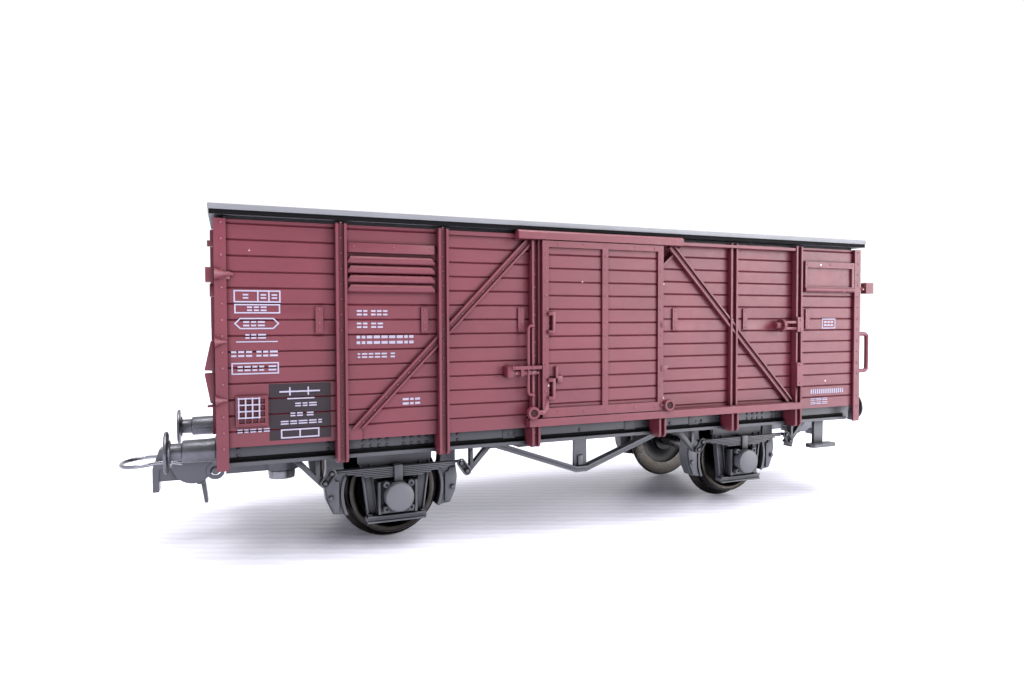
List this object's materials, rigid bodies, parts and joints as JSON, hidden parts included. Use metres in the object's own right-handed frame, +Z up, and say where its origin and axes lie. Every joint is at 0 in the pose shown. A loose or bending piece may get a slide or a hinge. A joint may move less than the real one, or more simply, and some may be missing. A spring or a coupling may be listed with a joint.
{
  "type": "model box car",
  "caption": "Scale-model covered goods wagon with planked body, sliding side doors, arched roof, disc wheelsets, buffers and loop couplers.",
  "frame": {"origin": "centre of the wagon at the bottom of the wheel flanges", "axes": "+X along the wagon towards the right-hand end of the near side, +Y from the near side to the far side, +Z up"},
  "size_m": [0.1124, 0.0348, 0.0407],
  "materials": {
    "body_maroon": "satin moulded oxide red",
    "roof_grey": "matt light grey",
    "floor_board": "matt",
    "ballast_steel": "rolled",
    "frame_plastic": "satin dark grey",
    "running_gear_plastic": "satin dark grey",
    "tyre_metal": "turned, dark",
    "wheel_plastic": "satin",
    "axle_steel": "turned",
    "buffer_metal": "blackened, satin",
    "coupler_plastic": "satin",
    "loop_wire": "drawn wire",
    "screw_steel": "zinc plated"
  },
  "bodies": {
    "van": {"body_shell": "body_maroon", "roof": "roof_grey", "cargo_floor": "floor_board", "underframe": "frame_plastic", "ballast_plate": "ballast_steel", "bay_frame_near_left": "body_maroon", "bay_frame_near_right": "body_maroon", "bay_frame_far_left": "body_maroon", "bay_frame_far_right": "body_maroon", "end_frame_left": "body_maroon", "end_frame_right": "body_maroon", "door_rail_near": "body_maroon", "door_rail_far": "body_maroon", "door_hood_near": "body_maroon", "door_hood_far": "body_maroon", "louvre_vent_near": "body_maroon", "louvre_vent_far": "body_maroon", "flap_vent_near": "body_maroon", "flap_vent_far": "body_maroon", "truss_near": "running_gear_plastic", "truss_far": "running_gear_plastic", "grab_iron_near_left": "body_maroon", "grab_iron_near_right": "body_maroon", "grab_iron_far_left": "body_maroon", "grab_iron_far_right": "body_maroon", "axle_guard_near_left": "running_gear_plastic", "axle_guard_near_right": "running_gear_plastic", "axle_guard_far_left": "running_gear_plastic", "axle_guard_far_right": "running_gear_plastic", "leaf_spring_near_left": "running_gear_plastic", "leaf_spring_near_right": "running_gear_plastic", "leaf_spring_far_left": "running_gear_plastic", "leaf_spring_far_right": "running_gear_plastic", "brake_gear_left_set_left": "running_gear_plastic", "brake_gear_left_set_right": "running_gear_plastic", "brake_gear_right_set_left": "running_gear_plastic", "brake_gear_right_set_right": "running_gear_plastic", "buffer_near_left": "buffer_metal", "buffer_near_right": "buffer_metal", "buffer_far_left": "buffer_metal", "buffer_far_right": "buffer_metal", "pivot_screw_left": "screw_steel", "pivot_screw_right": "screw_steel"},
    "wheelset_left": {"axle_left": "axle_steel", "tyre_near_left": "tyre_metal", "tyre_far_left": "tyre_metal", "wheel_centre_near_left": "wheel_plastic", "wheel_centre_far_left": "wheel_plastic"},
    "wheelset_right": {"axle_right": "axle_steel", "tyre_near_right": "tyre_metal", "tyre_far_right": "tyre_metal", "wheel_centre_near_right": "wheel_plastic", "wheel_centre_far_right": "wheel_plastic"},
    "sliding_door_near": {"door_near": "body_maroon"},
    "sliding_door_far": {"door_far": "body_maroon"},
    "coupler_left": {"coupler_bar_left": "coupler_plastic"},
    "loop_left": {"coupler_loop_left": "loop_wire"},
    "coupler_right": {"coupler_bar_right": "coupler_plastic"},
    "loop_right": {"coupler_loop_right": "loop_wire"}
  },
  "joints": [
    {"name": "wheelset_left_spin", "type": "hinge", "parent": "van", "child": "wheelset_left", "pos_m": [-0.02575, 0, 0.00637], "axis": [0, 1, 0], "continuous": true},
    {"name": "wheelset_right_spin", "type": "hinge", "parent": "van", "child": "wheelset_right", "pos_m": [0.02575, 0, 0.00637], "axis": [0, 1, 0], "continuous": true},
    {"name": "door_near_slide", "type": "slide", "parent": "van", "child": "sliding_door_near", "axis": [1, 0, 0], "range_m": [0, 0.0174]},
    {"name": "door_far_slide", "type": "slide", "parent": "van", "child": "sliding_door_far", "axis": [-1, 0, 0], "range_m": [0, 0.0174]},
    {"name": "coupler_left_swing", "type": "hinge", "parent": "van", "child": "coupler_left", "pos_m": [-0.038, 0, 0.0087], "axis": [0, 0, 1], "range_deg": [-12, 12]},
    {"name": "loop_left_lift", "type": "hinge", "parent": "coupler_left", "child": "loop_left", "pos_m": [-0.04575, 0, 0.00876], "axis": [0, 1, 0], "range_deg": [0, 20]},
    {"name": "coupler_right_swing", "type": "hinge", "parent": "van", "child": "coupler_right", "pos_m": [0.038, 0, 0.0087], "axis": [0, 0, 1], "range_deg": [-12, 12]},
    {"name": "loop_right_lift", "type": "hinge", "parent": "coupler_right", "child": "loop_right", "pos_m": [0.04575, 0, 0.00876], "axis": [0, -1, 0], "range_deg": [0, 20]}
  ]
}
